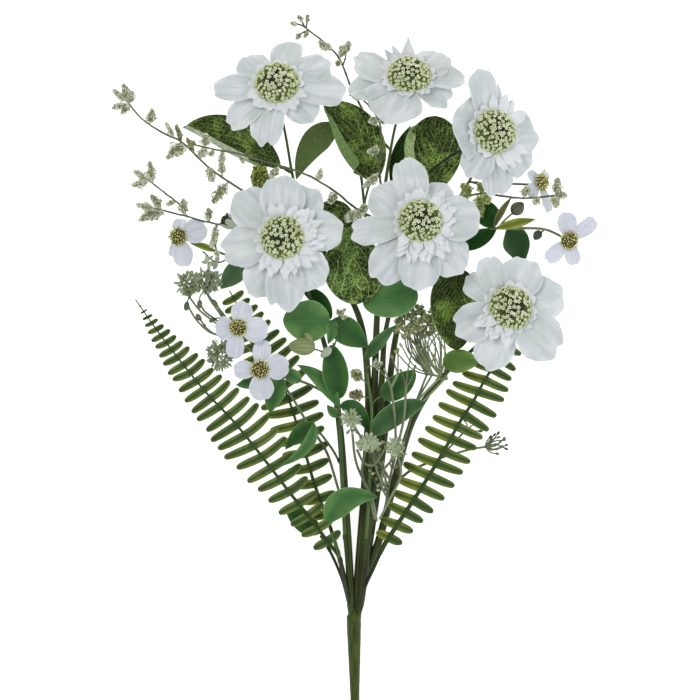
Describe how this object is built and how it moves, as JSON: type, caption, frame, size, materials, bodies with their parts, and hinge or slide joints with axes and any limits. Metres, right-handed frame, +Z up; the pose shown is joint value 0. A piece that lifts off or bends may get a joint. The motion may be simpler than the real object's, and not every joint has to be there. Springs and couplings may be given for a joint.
{
  "type": "scabiosa flower bunch",
  "caption": "Artificial bunch of broad white scabiosa heads, small white flowers, fern fronds, veined leaves and pale sprays on wire stems bound into one taped handle, lying down.",
  "frame": {"origin": "the flat spot under the taped binding, just below where the stems part, on which the bunch lies", "axes": "+Y runs from the taped handle to the flower heads, +Z up from the table through the faces of the flowers, and +X to the right of someone who looks down at them with the handle nearest"},
  "size_m": [0.3633, 0.5392, 0.1139],
  "materials": {
    "petals": "white woven cloth, faintly blue in the folds, matt",
    "bloom_centres": "pale green and cream clustered florets, matt",
    "flower_eyes": "olive and yellow-green stamens, matt",
    "taped_stems": "olive tape over wire, with a low sheen on its turns",
    "ferns": "olive green leaflets with lighter edges, satin",
    "smooth_leaves": "mid green leaves with lighter edges, satin",
    "veined_leaves": "dark green cloth with a pale net of veins, grey-green underneath",
    "sprays": "pale sage flocked lobes, matt",
    "umbels": "grey-green rays and buds, matt"
  },
  "bodies": {
    "root": {"bloom_left_centre": "bloom_centres", "bloom_left_petals": "petals", "bloom_lower_right_centre": "bloom_centres", "bloom_lower_right_petals": "petals", "bloom_right_centre": "bloom_centres", "bloom_right_petals": "petals", "bloom_top_centre": "bloom_centres", "bloom_top_petals": "petals", "bloom_upper_left_centre": "bloom_centres", "bloom_upper_left_petals": "petals", "bloom_upper_right_centre": "bloom_centres", "bloom_upper_right_petals": "petals", "fern_left_back": "ferns", "fern_left_front": "ferns", "fern_right": "ferns", "flower_stalk_behind_right": "smooth_leaves", "leaf_behind_top": "veined_leaves", "leaf_low": "smooth_leaves", "leaf_low_back": "smooth_leaves", "leaf_right": "veined_leaves", "leaf_top_right": "veined_leaves", "leaf_under_lower_bloom": "smooth_leaves", "leaf_under_right_bloom": "smooth_leaves", "leaf_upper_left": "veined_leaves", "leafy_stem_centre": "smooth_leaves", "leafy_stem_right": "smooth_leaves", "leafy_twig_far_left": "smooth_leaves", "leafy_twig_far_right": "smooth_leaves", "leafy_twig_left": "smooth_leaves", "leafy_twig_lower_left": "smooth_leaves", "leaves_centre": "veined_leaves", "leaves_top_centre": "veined_leaves", "small_flower_behind_right_eye": "flower_eyes", "small_flower_behind_right_petals": "petals", "small_flower_far_left_eye": "flower_eyes", "small_flower_far_left_petals": "petals", "small_flower_far_right_eye": "flower_eyes", "small_flower_far_right_petals": "petals", "small_flower_left_eye": "flower_eyes", "small_flower_left_petals": "petals", "small_flower_lower_left_eye": "flower_eyes", "small_flower_lower_left_petals": "petals", "spray_arching": "sprays", "spray_centre": "sprays", "spray_left": "sprays", "spray_right": "sprays", "spray_top": "sprays", "spray_upper_left": "sprays", "taped_stems": "taped_stems", "umbel_centre": "umbels", "umbel_far_right": "umbels", "umbel_left": "umbels", "umbel_right": "umbels"}
  },
  "joints": []
}
